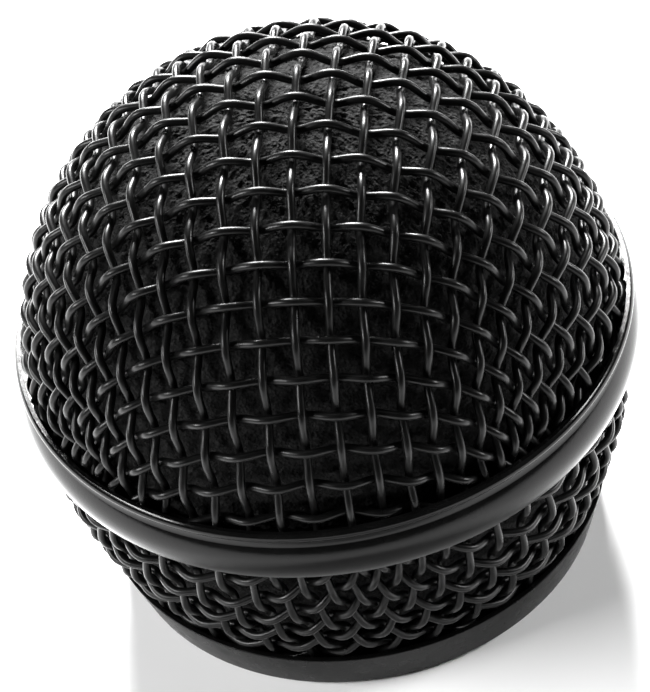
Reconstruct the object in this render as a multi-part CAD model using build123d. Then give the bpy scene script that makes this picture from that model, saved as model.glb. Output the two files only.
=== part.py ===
from build123d import *
import os
from math import cos, pi, radians, sin, sqrt

# Interchangeable ball-grille head of a hand-held moving-coil microphone.
# Millimetres. +Z runs up the head's axis, and the origin is the centre of the collar's foot.

# ---------------------------------------------------------------- driving dimensions
# Gaps between pieces
SEAT_GAP = 0.03  # fixed pieces that sit in or on one another
THREAD_GAP = 0.05  # grille thread on the base ring, per side
MOVE_GAP = 0.3  # pieces of different bodies that pass one another
SPIN_GAP = 0.35  # foam inside the turning mesh

# Ball
DOME_RADIUS = 24.7  # outside of the woven dome
DOME_CENTRE_Z = 22.0  # height of the ball's centre over the foot
WIRE_DIAMETER = 0.66
BAND_RISE = 1.5  # band above the ball's centre
BAND_DROP = 3.3  # band below the ball's centre
BAND_PROJECTION = 0.8  # widest bead beyond the woven dome
BAND_LIP_HEIGHT = 1.0  # narrow upper lip
BAND_LIP_SETBACK = 0.2  # lip less than the widest bead
BAND_LIP_ROUND = 0.25
BAND_GROOVE_HEIGHT = 0.5
BAND_GROOVE_DEPTH = 0.55  # below the widest bead
BAND_FOOT_SETBACK = 0.35
HEM_OVERLAP = 0.9  # dome mesh below the ball's centre, inside the band
MESH_JOINT_GAP = 0.3  # between the hems of the two meshes, behind the band
CRIMP_RING_WALL = 0.7
CRIMP_REACH = 0.45  # crimp ring over each hem
FOAM_THICKNESS = 2.5
SLEEVE_FOAM_THICKNESS = 1.5
BASKET_BULGE = 1.0  # how far the basket bows out from a straight cone

# Handle thread, 1 1/4 inch with 28 turns an inch
HANDLE_THREAD_DIAMETER = 31.75
HANDLE_THREAD_PITCH = 25.4 / 28
THREAD_DEPTH_RATIO = 0.5413  # depth of an internal 60 degree thread over its pitch
SOCKET_DEPTH = 5.6
SOCKET_CHAMFER = 0.5

# Base ring
BASE_RECESS = 0.4  # base ring above the collar's foot
BASE_WALL = 1.2  # around the handle thread, at the neck
THREAD_STEP = 0.72  # grille thread beyond the neck
GRILLE_THREAD_LENGTH = 4.4
SHOULDER_THICKNESS = 0.8
SHOULDER_WIDTH = 1.2  # ledge inside the socket that carries the board
NECK_WALL = 1.35  # around the board and the carrier
NECK_TOP_Z = 9.8
GASKET_THICKNESS = 0.5

# Collar
COLLAR_HEIGHT = 4.3
COLLAR_TAPER = 1.3  # foot radius less than top radius
COLLAR_LIP = 0.5  # wall outside the basket mesh
COLLAR_SLEEVE_WALL = 0.6  # wall between thread and mesh
COLLAR_SEAT_Z = 2.4  # where the basket mesh stands
COLLAR_STOP_THICKNESS = 0.8
MESH_CLEARANCE = 0.27  # between collar sleeve and mesh
COLLAR_EDGE = 0.25  # chamfer round the foot

# Contact board
BOARD_THICKNESS = 1.0
CONTACT_THICKNESS = 0.15
CENTRE_CONTACT_RADIUS = 2.0
INNER_CONTACT_RADIUS = 6.2  # middle of the inner ring
OUTER_CONTACT_RADIUS = 11.6  # middle of the outer ring
CONTACT_WIDTH = 2.0
PAD_RADIUS = 1.1
PAD_THICKNESS = 0.1

# Carrier, rubber mount and clamp ring
CUP_WALL = 1.3
CUP_BOTTOM_Z = 10.8  # skirt ends and cup starts
CUP_TOP_Z = 18.4
SKIRT_WALL = 1.3
WINDOW_COUNT = 4
WINDOW_WIDTH = 9.0
WINDOW_HEIGHT = 3.4
SLEEVE_WALL = 0.5
SLEEVE_LENGTH = 4.2
CONE_RISE = 1.0  # rubber flange over the top of the sleeve
MOUNT_GAP = 0.9  # rubber sleeve to cup
FLANGE_THICKNESS = 1.2
WEB_THICKNESS = 0.6
CLAMP_WALL = 0.7
CLAMP_TOP = 1.2
CLAMP_SKIRT = 2.2
GRUB_RADIUS = 0.8
GRUB_COUNT = 3
GRUB_SOCKET_RADIUS = 0.4
GRUB_SOCKET_DEPTH = 0.6

# Cartridge
CARTRIDGE_BOTTOM_Z = 12.0
CAP_HEADROOM = 1.7  # cap edge to foam
CAP_THICKNESS = 1.2
CAP_WALL = 0.75
CAP_SKIRT = 4.9
CAP_EDGE = 0.8
CAP_HOLE_RADIUS = 0.8
CAP_HOLE_RINGS = ((0.0, 1), (2.9, 6), (5.8, 12), (8.7, 18))  # radius of each ring and its holes
CLOTH_THICKNESS = 0.25
DIAPHRAGM_THICKNESS = 0.12
DIAPHRAGM_CROWN = 1.6
SURROUND_RISE = 0.4  # roll of the surround over its inner edge
LAND_RISE = 0.35  # inner edge of the surround over the rim
FRONT_CAVITY = 0.75  # diaphragm crown to cloth
RIM_WIDTH = 1.5
RING_THICKNESS = 0.6
COIL_BORE_RADIUS = 6.4
FORMER_WALL = 0.1
WINDING_WALL = 0.3
WINDING_DROP = 0.9  # top of the winding below the diaphragm
COIL_LENGTH = 4.9
GAP_INSIDE = 0.25
GAP_OUTSIDE = 0.3
POLE_DROP = 1.6  # diaphragm rim to pole face
PLATE_THICKNESS = 2.0
PLATE_WIDTH = 3.0
YOKE_WALL = 1.5
YOKE_FLOOR = 1.6
MAGNET_RADIUS = 5.9
MAGNET_HEIGHT = 6.5
FRAME_WIDTH = 1.7
FRAME_DROP = 1.4  # frame below the front plate
FRAME_RISE = 0.5  # frame above the diaphragm ring
PORT_RADIUS = 0.55
PORT_COUNT = 12
SHELL_WALL = 0.6
SHELL_LIP = 1.3
SHELL_WINDOW_HEIGHT = 2.6
SHELL_WINDOW_WIDTH = 3.6
SHELL_WINDOW_COUNT = 8
SHELL_WINDOW_DROP = 0.9  # below the rear cloth
CHAMBER_LEDGE = 1.0
CHAMBER_WALL = 1.4
CHAMBER_FLOOR = 1.0
LEDGE_WIDTH = 2.8
FELT_GAP = 0.4  # felt to the chamber's wall and ledge
TERMINAL_BOARD_THICKNESS = 1.0
TERMINAL_OFFSET = 5.0  # from the axis
TURRET_BASE_RADIUS = 1.1
TURRET_STEM_RADIUS = 0.6
TURRET_TIP_RADIUS = 0.85
TURRET_BASE = 0.4
TURRET_STEM = 1.0
TURRET_TIP = 0.3
LEAD_DIAMETER = 0.7
LEAD_BEND_RADIUS = 1.9

# ---------------------------------------------------------------- worked-out dimensions
# Radii, from the handle thread outwards
socket_radius = HANDLE_THREAD_DIAMETER / 2 - THREAD_DEPTH_RATIO * HANDLE_THREAD_PITCH
neck_radius = socket_radius + BASE_WALL
seat_radius = neck_radius - NECK_WALL
shoulder_radius = socket_radius - SHOULDER_WIDTH
thread_radius = neck_radius + THREAD_STEP
collar_bore = thread_radius + THREAD_GAP
sleeve_radius = collar_bore + COLLAR_SLEEVE_WALL
mesh_thickness = 2 * WIRE_DIAMETER
mesh_foot_inner = sleeve_radius + MESH_CLEARANCE
mesh_foot_outer = mesh_foot_inner + mesh_thickness

# Heights of the base
shoulder_bottom_z = BASE_RECESS + SOCKET_DEPTH
board_bottom_z = shoulder_bottom_z + SHOULDER_THICKNESS
board_top_z = board_bottom_z + BOARD_THICKNESS
thread_top_z = BASE_RECESS + GRILLE_THREAD_LENGTH
stop_z = thread_top_z + GASKET_THICKNESS + SEAT_GAP
collar_inside_top_z = stop_z + COLLAR_STOP_THICKNESS

# Ball
band_bottom_z = DOME_CENTRE_Z - BAND_DROP
band_top_z = DOME_CENTRE_Z + BAND_RISE
hem_bottom_z = DOME_CENTRE_Z - HEM_OVERLAP
basket_top_z = hem_bottom_z - MESH_JOINT_GAP
dome_inner_radius = DOME_RADIUS - mesh_thickness
crimp_outer = dome_inner_radius - SEAT_GAP
crimp_inner = crimp_outer - CRIMP_RING_WALL
crimp_bottom_z = basket_top_z - CRIMP_REACH
crimp_top_z = hem_bottom_z + CRIMP_REACH
foam_outer_radius = dome_inner_radius - SPIN_GAP
foam_inner_radius = foam_outer_radius - FOAM_THICKNESS

# Arc of the basket's outside, from the collar's seat to the underside of the band
basket_run = DOME_RADIUS - mesh_foot_outer
basket_climb = band_bottom_z - COLLAR_SEAT_Z
basket_chord = sqrt(basket_run**2 + basket_climb**2)
basket_arc_radius = (basket_chord**2 / 4 + BASKET_BULGE**2) / (2 * BASKET_BULGE)
basket_arc_inset = (basket_arc_radius - BASKET_BULGE) / basket_chord
basket_centre_radius = mesh_foot_outer + basket_run / 2 - basket_arc_inset * basket_climb
basket_centre_z = COLLAR_SEAT_Z + basket_climb / 2 + basket_arc_inset * basket_run

# Cartridge radii, from the coil outwards
former_radius = COIL_BORE_RADIUS + FORMER_WALL
winding_radius = former_radius + WINDING_WALL
pole_radius = COIL_BORE_RADIUS - GAP_INSIDE
plate_bore = winding_radius + GAP_OUTSIDE
yoke_radius = plate_bore + PLATE_WIDTH
frame_inner = yoke_radius + SEAT_GAP
frame_outer = frame_inner + FRAME_WIDTH
shell_inner = frame_outer + SEAT_GAP
shell_outer = shell_inner + SHELL_WALL
cap_inner = shell_outer + SEAT_GAP
cap_outer = cap_inner + CAP_WALL
ring_outer = frame_outer - RING_THICKNESS
ring_inner = ring_outer - RIM_WIDTH
rubber_inner = shell_outer + SEAT_GAP
rubber_outer = rubber_inner + SLEEVE_WALL
cup_inner = rubber_outer + MOUNT_GAP
cup_outer = cup_inner + CUP_WALL
clamp_outer = cup_outer + SEAT_GAP + CLAMP_WALL
skirt_outer = seat_radius - SEAT_GAP
skirt_inner = skirt_outer - SKIRT_WALL

# Cartridge heights, from the cap down
cap_top_z = DOME_CENTRE_Z + sqrt(foam_inner_radius**2 - cap_outer**2) - CAP_HEADROOM
cap_under_z = cap_top_z - CAP_THICKNESS
cap_skirt_z = cap_under_z - CAP_SKIRT
cloth_bottom_z = cap_under_z - SEAT_GAP - CLOTH_THICKNESS
land_z = cloth_bottom_z - FRONT_CAVITY - DIAPHRAGM_CROWN - DIAPHRAGM_THICKNESS
rim_z = land_z - LAND_RISE
ring_bottom_z = rim_z - RING_THICKNESS
pole_top_z = rim_z - POLE_DROP
plate_bottom_z = pole_top_z - PLATE_THICKNESS
magnet_bottom_z = plate_bottom_z - MAGNET_HEIGHT
yoke_bottom_z = magnet_bottom_z - YOKE_FLOOR
frame_bottom_z = plate_bottom_z - FRAME_DROP
frame_top_z = rim_z + FRAME_RISE
rear_cloth_bottom_z = frame_bottom_z - SEAT_GAP - CLOTH_THICKNESS
shell_top_z = cap_under_z - SEAT_GAP
window_top_z = rear_cloth_bottom_z - SHELL_WINDOW_DROP
chamber_bottom_z = CARTRIDGE_BOTTOM_Z + TERMINAL_BOARD_THICKNESS
chamber_top_z = yoke_bottom_z - SEAT_GAP


# ---------------------------------------------------------------- shared shapes
def turned(points):
    """Solid turned about Z from a closed outline of (radius, height) points."""
    outline = Polyline([(radius, 0, height) for radius, height in points], close=True)
    return revolve(make_face(outline), Axis.Z)


def ring(inner, outer, bottom, top):
    """Plain ring or, with no inner radius, disc."""
    return turned([(inner, bottom), (outer, bottom), (outer, top), (inner, top)])


def section(*edges):
    """Solid turned about Z from edges drawn in the XZ plane."""
    return revolve(make_face(Wire(edges)), Axis.Z)


def at(radius, height):
    """Point of a turned outline."""
    return Vector(radius, 0, height)


def around(count, radius, start=0.0):
    """Centres of a ring of equally spaced features, and each one's turn in degrees."""
    turns = [start + 360 * index / count for index in range(count)]
    return [(radius * cos(radians(turn)), radius * sin(radians(turn)), turn) for turn in turns]


def drilled(solid, count, ring_radius, hole_radius, bottom, top, start=0.0):
    """Solid with a ring of holes along Z."""
    for x, y, _ in around(count, ring_radius, start):
        tool = Cylinder(hole_radius, top - bottom, align=(Align.CENTER, Align.CENTER, Align.MIN))
        solid -= Pos(x, y, bottom) * tool
    return solid


def hemisphere_shell(outer, thickness, centre_z, hem_z):
    """Half-ball shell with a straight hem down to hem_z."""
    inner = outer - thickness
    slant = sqrt(0.5)
    return section(
        ThreePointArc(
            at(outer, centre_z),
            at(outer * slant, centre_z + outer * slant),
            at(0, centre_z + outer),
        ),
        Line(at(0, centre_z + outer), at(0, centre_z + inner)),
        ThreePointArc(
            at(0, centre_z + inner),
            at(inner * slant, centre_z + inner * slant),
            at(inner, centre_z),
        ),
        Line(at(inner, centre_z), at(inner, hem_z)),
        Line(at(inner, hem_z), at(outer, hem_z)),
        Line(at(outer, hem_z), at(outer, centre_z)),
    )


def basket_radius(height):
    """Outside radius of the basket mesh at a height below the band."""
    rise = height - basket_centre_z
    return basket_centre_radius + sqrt(basket_arc_radius**2 - rise**2)


def basket_shell(inset, thickness, bottom, hem_top):
    """Shell along the basket's arc with a straight hem above, inset from the basket's outside."""
    middle = (bottom + band_bottom_z) / 2
    heights = (bottom, middle, band_bottom_z)
    outside = [at(basket_radius(height) - inset, height) for height in heights]
    wall = Vector(thickness, 0, 0)
    inside = [point - wall for point in outside]
    hem = outside[2] + Vector(0, 0, hem_top - band_bottom_z)
    return section(
        ThreePointArc(*outside),
        Line(outside[2], hem),
        Line(hem, hem - wall),
        Line(hem - wall, inside[2]),
        ThreePointArc(*reversed(inside)),
        Line(inside[0], outside[0]),
    )


# ---------------------------------------------------------------- grille
def make_dome_mesh():
    return hemisphere_shell(DOME_RADIUS, mesh_thickness, DOME_CENTRE_Z, hem_bottom_z)


def make_basket_mesh():
    return basket_shell(0, mesh_thickness, COLLAR_SEAT_Z + SEAT_GAP, basket_top_z)


def make_equator_band():
    """Pressed ring with a narrow upper lip and a broad lower bead, over both meshes' hems."""
    bore = DOME_RADIUS + SEAT_GAP
    widest = DOME_RADIUS + BAND_PROJECTION
    lip_radius = widest - BAND_LIP_SETBACK
    groove_radius = widest - BAND_GROOVE_DEPTH
    foot_radius = widest - BAND_FOOT_SETBACK
    lip_bottom_z = band_top_z - BAND_LIP_HEIGHT
    bead_top_z = lip_bottom_z - BAND_GROOVE_HEIGHT
    bead_middle_z = (bead_top_z + band_bottom_z) / 2
    lip_start = at(lip_radius - BAND_LIP_ROUND, band_top_z)
    lip_end = at(groove_radius, lip_bottom_z)
    bead_start = at(groove_radius, bead_top_z)
    bead_end = at(foot_radius, band_bottom_z)
    return section(
        Line(at(bore, band_top_z), lip_start),
        ThreePointArc(lip_start, at(lip_radius, (band_top_z + lip_bottom_z) / 2), lip_end),
        Line(lip_end, bead_start),
        ThreePointArc(bead_start, at(widest, bead_middle_z), bead_end),
        Line(bead_end, at(bore, band_bottom_z)),
        Line(at(bore, band_bottom_z), at(bore, band_top_z)),
    )


def make_band_inner_ring():
    """Crimp ring that holds both hems against the band."""
    return ring(crimp_inner, crimp_outer, crimp_bottom_z, crimp_top_z)


def make_grille_collar():
    """Screwed collar, open at the top for the basket mesh, with a stop over the thread."""
    middle_z = (COLLAR_SEAT_Z + COLLAR_HEIGHT) / 2
    heights = (COLLAR_HEIGHT, middle_z, COLLAR_SEAT_Z)
    lip = [at(basket_radius(height) + SEAT_GAP, height) for height in heights]
    lip_outer = lip[0].X + COLLAR_LIP
    foot_outer = lip_outer - COLLAR_TAPER
    stop_radius = neck_radius + MOVE_GAP
    outline = Polyline(
        lip[2],
        at(sleeve_radius, COLLAR_SEAT_Z),
        at(sleeve_radius, collar_inside_top_z),
        at(stop_radius, collar_inside_top_z),
        at(stop_radius, stop_z),
        at(collar_bore, stop_z),
        at(collar_bore, 0),
        at(foot_outer - COLLAR_EDGE, 0),
        at(foot_outer, COLLAR_EDGE),
        at(lip_outer, COLLAR_HEIGHT),
        lip[0],
    )
    return section(ThreePointArc(*lip), *outline.edges())


# ---------------------------------------------------------------- foam
def make_dome_foam():
    hem_z = crimp_top_z + MOVE_GAP
    return hemisphere_shell(foam_outer_radius, FOAM_THICKNESS, DOME_CENTRE_Z, hem_z)


def make_basket_foam():
    bottom = collar_inside_top_z + MOVE_GAP
    top = crimp_bottom_z - MOVE_GAP
    inset = mesh_thickness + SPIN_GAP
    return basket_shell(inset, SLEEVE_FOAM_THICKNESS, bottom, top)


# ---------------------------------------------------------------- base
def grub_holes(solid, extra):
    """Solid with the three radial screw holes through the neck."""
    height = (board_top_z + NECK_TOP_Z) / 2
    length = 3 * (NECK_WALL + SKIRT_WALL)
    for x, y, turn in around(GRUB_COUNT, neck_radius, 90):
        tool = Cylinder(GRUB_RADIUS + extra, length)
        solid -= Pos(x, y, height) * Rot(0, 0, turn) * Rot(0, 90, 0) * tool
    return solid


def make_base_ring():
    """Threaded ring: the handle screws into it, and the grille screws on to it."""
    blank = turned(
        [
            (socket_radius + SOCKET_CHAMFER, BASE_RECESS),
            (thread_radius, BASE_RECESS),
            (thread_radius, thread_top_z),
            (neck_radius, thread_top_z),
            (neck_radius, NECK_TOP_Z),
            (seat_radius, NECK_TOP_Z),
            (seat_radius, board_bottom_z),
            (shoulder_radius, board_bottom_z),
            (shoulder_radius, shoulder_bottom_z),
            (socket_radius, shoulder_bottom_z),
            (socket_radius, BASE_RECESS + SOCKET_CHAMFER),
        ]
    )
    return grub_holes(blank, SEAT_GAP)


def make_grille_gasket():
    return ring(neck_radius + SEAT_GAP, thread_radius - SEAT_GAP, thread_top_z, stop_z - SEAT_GAP)


def make_contact_board():
    return ring(0, seat_radius - SEAT_GAP, board_bottom_z, board_top_z)


def contact_ring(middle):
    bottom = board_bottom_z - CONTACT_THICKNESS
    return ring(middle - CONTACT_WIDTH / 2, middle + CONTACT_WIDTH / 2, bottom, board_bottom_z)


def make_centre_contact():
    return ring(0, CENTRE_CONTACT_RADIUS, board_bottom_z - CONTACT_THICKNESS, board_bottom_z)


def lead_points():
    """Route of the first lead, from its turret out, round and down to its pad."""
    start_z = CARTRIDGE_BOTTOM_Z - TURRET_BASE - TURRET_STEM / 2
    lie_z = board_top_z + PAD_THICKNESS + LEAD_DIAMETER / 2 + SEAT_GAP
    fall = start_z - lie_z
    near = TERMINAL_OFFSET + TURRET_STEM_RADIUS + SEAT_GAP
    return [
        Vector(near, 0, start_z),
        Vector(near + 4.2, 0.5, start_z),
        Vector(near + 5.6, 3.9, start_z - 0.3 * fall),
        Vector(near + 3.9, 7.3, start_z - 0.7 * fall),
        Vector(near + 0.6, 8.9, lie_z + 0.05 * fall),
        Vector(near - 1.8, 8.8, lie_z),
    ]


def make_lead(turn):
    points = lead_points()
    route = FilletPolyline(*points, radius=LEAD_BEND_RADIUS)
    start = Plane(points[0], z_dir=points[1] - points[0])
    tube = sweep(start * Circle(LEAD_DIAMETER / 2), path=route)
    return Rot(0, 0, turn) * tube


def make_solder_pads():
    pad = ring(0, PAD_RADIUS, board_top_z, board_top_z + PAD_THICKNESS)
    end = lead_points()[-1]
    first = Pos(end.X, end.Y, 0) * pad
    return Compound([first, Rot(0, 0, 180) * first])


def make_cartridge_carrier():
    """Skirt that stands in the neck, and a windowed cup round the cartridge."""
    slope_z = NECK_TOP_Z + MOVE_GAP
    blank = turned(
        [
            (skirt_inner, board_top_z),
            (skirt_outer, board_top_z),
            (skirt_outer, slope_z),
            (cup_outer, CUP_BOTTOM_Z),
            (cup_outer, CUP_TOP_Z),
            (cup_inner, CUP_TOP_Z),
            (cup_inner, CUP_BOTTOM_Z),
            (skirt_inner, slope_z),
        ]
    )
    window_z = (CUP_BOTTOM_Z + CUP_TOP_Z - CLAMP_SKIRT) / 2
    for x, y, turn in around(WINDOW_COUNT, cup_outer, 45):
        tool = Box(4 * CUP_WALL, WINDOW_WIDTH, WINDOW_HEIGHT)
        tool = fillet(tool.edges().filter_by(Axis.X), WINDOW_HEIGHT / 4)
        blank -= Pos(x, y, window_z) * Rot(0, 0, turn) * tool
    return grub_holes(blank, SEAT_GAP)


def make_insert_screws():
    """Three grub screws that hold the carrier in the neck."""
    height = (board_top_z + NECK_TOP_Z) / 2
    length = NECK_WALL + SKIRT_WALL
    screws = []
    for x, y, turn in around(GRUB_COUNT, neck_radius - SEAT_GAP - length / 2, 90):
        screw = Cylinder(GRUB_RADIUS, length)
        socket = extrude(RegularPolygon(GRUB_SOCKET_RADIUS, 6), GRUB_SOCKET_DEPTH)
        screw -= Pos(0, 0, length / 2 - GRUB_SOCKET_DEPTH) * socket
        screws.append(Pos(x, y, height) * Rot(0, 0, turn) * Rot(0, 90, 0) * screw)
    return Compound(screws)


def make_shock_mount():
    """Rubber ring: a sleeve on the cartridge, a conical web and a flange on the cup."""
    flange_top = CUP_TOP_Z + FLANGE_THICKNESS
    sleeve_top = CUP_TOP_Z - CONE_RISE
    return turned(
        [
            (rubber_inner, sleeve_top - SLEEVE_LENGTH),
            (rubber_outer, sleeve_top - SLEEVE_LENGTH),
            (rubber_outer, sleeve_top - WEB_THICKNESS),
            (cup_inner, CUP_TOP_Z),
            (cup_outer, CUP_TOP_Z),
            (cup_outer, flange_top),
            (cup_inner, flange_top),
            (cup_inner, CUP_TOP_Z + WEB_THICKNESS),
            (rubber_outer, sleeve_top),
            (rubber_inner, sleeve_top),
        ]
    )


def make_mount_clamp_ring():
    under = CUP_TOP_Z + FLANGE_THICKNESS
    return turned(
        [
            (cup_inner, under),
            (cup_outer + SEAT_GAP, under),
            (cup_outer + SEAT_GAP, under - FLANGE_THICKNESS - CLAMP_SKIRT),
            (clamp_outer, under - FLANGE_THICKNESS - CLAMP_SKIRT),
            (clamp_outer, under + CLAMP_TOP),
            (cup_inner, under + CLAMP_TOP),
        ]
    )


# ---------------------------------------------------------------- cartridge
def make_resonator_cap():
    """Pierced cap over the front of the cartridge."""
    blank = turned(
        [
            (0, cap_under_z),
            (cap_inner, cap_under_z),
            (cap_inner, cap_skirt_z),
            (cap_outer, cap_skirt_z),
            (cap_outer, cap_top_z - CAP_EDGE),
            (cap_outer - CAP_EDGE, cap_top_z),
            (0, cap_top_z),
        ]
    )
    for ring_radius, count in CAP_HOLE_RINGS:
        blank = drilled(blank, count, ring_radius, CAP_HOLE_RADIUS, cap_under_z, cap_top_z)
    return blank


def make_front_cloth():
    return ring(0, shell_inner - SEAT_GAP, cloth_bottom_z, cap_under_z - SEAT_GAP)


def make_diaphragm():
    """Thin film: a domed centre, a rolled surround and a flat rim on its ring."""
    lift = Vector(0, 0, DIAPHRAGM_THICKNESS)
    crown = at(0, land_z + DIAPHRAGM_CROWN)
    ball = (former_radius**2 + DIAPHRAGM_CROWN**2) / (2 * DIAPHRAGM_CROWN)
    haunch_height = sqrt(ball**2 - former_radius**2 / 4) - ball + DIAPHRAGM_CROWN
    haunch = at(former_radius / 2, land_z + haunch_height)
    foot = at(former_radius, land_z)
    land = at(winding_radius, land_z)
    roll = at((winding_radius + ring_inner) / 2, land_z + SURROUND_RISE)
    rim_start = at(ring_inner, rim_z)
    rim_end = at(ring_outer, rim_z)
    return section(
        Line(crown, crown + lift),
        ThreePointArc(crown + lift, haunch + lift, foot + lift),
        Line(foot + lift, land + lift),
        ThreePointArc(land + lift, roll + lift, rim_start + lift),
        Line(rim_start + lift, rim_end + lift),
        Line(rim_end + lift, rim_end),
        Line(rim_end, rim_start),
        ThreePointArc(rim_start, roll, land),
        Line(land, foot),
        ThreePointArc(foot, haunch, crown),
    )


def make_diaphragm_ring():
    return ring(ring_inner, ring_outer, ring_bottom_z, rim_z)


def make_coil_former():
    return ring(COIL_BORE_RADIUS, former_radius, land_z - COIL_LENGTH, land_z)


def make_coil_winding():
    return ring(former_radius, winding_radius, land_z - COIL_LENGTH, land_z - WINDING_DROP)


def make_pole_piece():
    return ring(0, pole_radius, plate_bottom_z, pole_top_z)


def make_magnet():
    return ring(0, MAGNET_RADIUS, magnet_bottom_z, plate_bottom_z)


def make_front_plate():
    return ring(plate_bore, yoke_radius, plate_bottom_z, pole_top_z)


def make_yoke_cup():
    inner = yoke_radius - YOKE_WALL
    return turned(
        [
            (0, yoke_bottom_z),
            (yoke_radius, yoke_bottom_z),
            (yoke_radius, plate_bottom_z),
            (inner, plate_bottom_z),
            (inner, magnet_bottom_z),
            (0, magnet_bottom_z),
        ]
    )


def make_cartridge_frame():
    """Ring that holds the magnet system and the diaphragm, with ports to the rear."""
    blank = turned(
        [
            (frame_inner, frame_bottom_z),
            (frame_outer, frame_bottom_z),
            (frame_outer, frame_top_z),
            (ring_outer + SEAT_GAP, frame_top_z),
            (ring_outer + SEAT_GAP, ring_bottom_z),
            (frame_inner, ring_bottom_z),
        ]
    )
    middle = (frame_inner + ring_outer) / 2
    return drilled(blank, PORT_COUNT, middle, PORT_RADIUS / 2, frame_bottom_z, frame_top_z)


def make_rear_port_cloth():
    return ring(frame_inner, frame_outer, rear_cloth_bottom_z, frame_bottom_z - SEAT_GAP)


def make_cartridge_shell():
    """Drawn can with rear sound windows and a lip turned in at the back."""
    blank = turned(
        [
            (shell_inner - SHELL_LIP, chamber_bottom_z - SHELL_WALL),
            (shell_outer, chamber_bottom_z - SHELL_WALL),
            (shell_outer, shell_top_z),
            (shell_inner, shell_top_z),
            (shell_inner, chamber_bottom_z - SEAT_GAP),
            (shell_inner - SHELL_LIP, chamber_bottom_z - SEAT_GAP),
        ]
    )
    height = window_top_z - SHELL_WINDOW_HEIGHT / 2
    for x, y, turn in around(SHELL_WINDOW_COUNT, shell_outer):
        tool = Box(4 * SHELL_WALL, SHELL_WINDOW_WIDTH, SHELL_WINDOW_HEIGHT)
        blank -= Pos(x, y, height) * Rot(0, 0, turn) * tool
    return blank


def make_rear_chamber():
    """Closed cup behind the magnet system."""
    inner = frame_outer - CHAMBER_WALL
    ledge_z = chamber_top_z - CHAMBER_LEDGE
    blank = turned(
        [
            (0, chamber_bottom_z),
            (frame_outer, chamber_bottom_z),
            (frame_outer, chamber_top_z),
            (frame_outer - LEDGE_WIDTH, chamber_top_z),
            (frame_outer - LEDGE_WIDTH, ledge_z),
            (inner, ledge_z),
            (inner, chamber_bottom_z + CHAMBER_FLOOR),
            (0, chamber_bottom_z + CHAMBER_FLOOR),
        ]
    )
    middle = (yoke_radius + frame_outer) / 2
    return drilled(blank, PORT_COUNT // 2, middle, PORT_RADIUS, ledge_z - PORT_RADIUS, chamber_top_z)


def make_chamber_felt():
    """Wad that fills the rear chamber up to its ledge."""
    radius = frame_outer - CHAMBER_WALL - FELT_GAP
    top = chamber_top_z - CHAMBER_LEDGE - FELT_GAP
    return ring(0, radius, chamber_bottom_z + CHAMBER_FLOOR, top)


def make_terminal_board():
    radius = shell_inner - SHELL_LIP - SEAT_GAP
    return ring(0, radius, CARTRIDGE_BOTTOM_Z, chamber_bottom_z)


def make_terminals():
    """Two turret lugs under the terminal board."""
    stem_z = CARTRIDGE_BOTTOM_Z - TURRET_BASE
    tip_z = stem_z - TURRET_STEM
    turret = turned(
        [
            (0, tip_z - TURRET_TIP),
            (TURRET_TIP_RADIUS, tip_z - TURRET_TIP),
            (TURRET_TIP_RADIUS, tip_z),
            (TURRET_STEM_RADIUS, tip_z),
            (TURRET_STEM_RADIUS, stem_z),
            (TURRET_BASE_RADIUS, stem_z),
            (TURRET_BASE_RADIUS, CARTRIDGE_BOTTOM_Z),
            (0, CARTRIDGE_BOTTOM_Z),
        ]
    )
    first = Pos(TERMINAL_OFFSET, 0, 0) * turret
    return Compound([first, Rot(0, 0, 180) * first])


# ---------------------------------------------------------------- write one file for each piece
pieces = {
    "dome_mesh": make_dome_mesh(),
    "basket_mesh": make_basket_mesh(),
    "equator_band": make_equator_band(),
    "band_inner_ring": make_band_inner_ring(),
    "grille_collar": make_grille_collar(),
    "dome_foam": make_dome_foam(),
    "basket_foam": make_basket_foam(),
    "base_ring": make_base_ring(),
    "grille_gasket": make_grille_gasket(),
    "contact_board": make_contact_board(),
    "outer_contact_ring": contact_ring(OUTER_CONTACT_RADIUS),
    "inner_contact_ring": contact_ring(INNER_CONTACT_RADIUS),
    "centre_contact": make_centre_contact(),
    "solder_pads": make_solder_pads(),
    "cartridge_carrier": make_cartridge_carrier(),
    "insert_screws": make_insert_screws(),
    "mount_clamp_ring": make_mount_clamp_ring(),
    "shock_mount": make_shock_mount(),
    "resonator_cap": make_resonator_cap(),
    "front_cloth": make_front_cloth(),
    "diaphragm": make_diaphragm(),
    "diaphragm_ring": make_diaphragm_ring(),
    "coil_former": make_coil_former(),
    "coil_winding": make_coil_winding(),
    "pole_piece": make_pole_piece(),
    "magnet": make_magnet(),
    "front_plate": make_front_plate(),
    "yoke_cup": make_yoke_cup(),
    "cartridge_frame": make_cartridge_frame(),
    "rear_port_cloth": make_rear_port_cloth(),
    "cartridge_shell": make_cartridge_shell(),
    "rear_chamber": make_rear_chamber(),
    "chamber_felt": make_chamber_felt(),
    "terminal_board": make_terminal_board(),
    "terminals": make_terminals(),
    "lead_hot": make_lead(0),
    "lead_cold": make_lead(180),
}

os.makedirs("parts", exist_ok=True)
for name, shape in pieces.items():
    export_step(shape, f"parts/{name}.step")

lead_run = FilletPolyline(*lead_points(), radius=LEAD_BEND_RADIUS).length
lead_section = pi * (LEAD_DIAMETER / 2) ** 2
print("lead length", lead_run, "section times length", lead_section * lead_run)
print("lead volume", pieces["lead_hot"].volume)
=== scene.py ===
from math import ceil, cos, pi, radians, sin, tau

import bpy
import numpy as np
from mathutils import Matrix, Vector, noise


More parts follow.
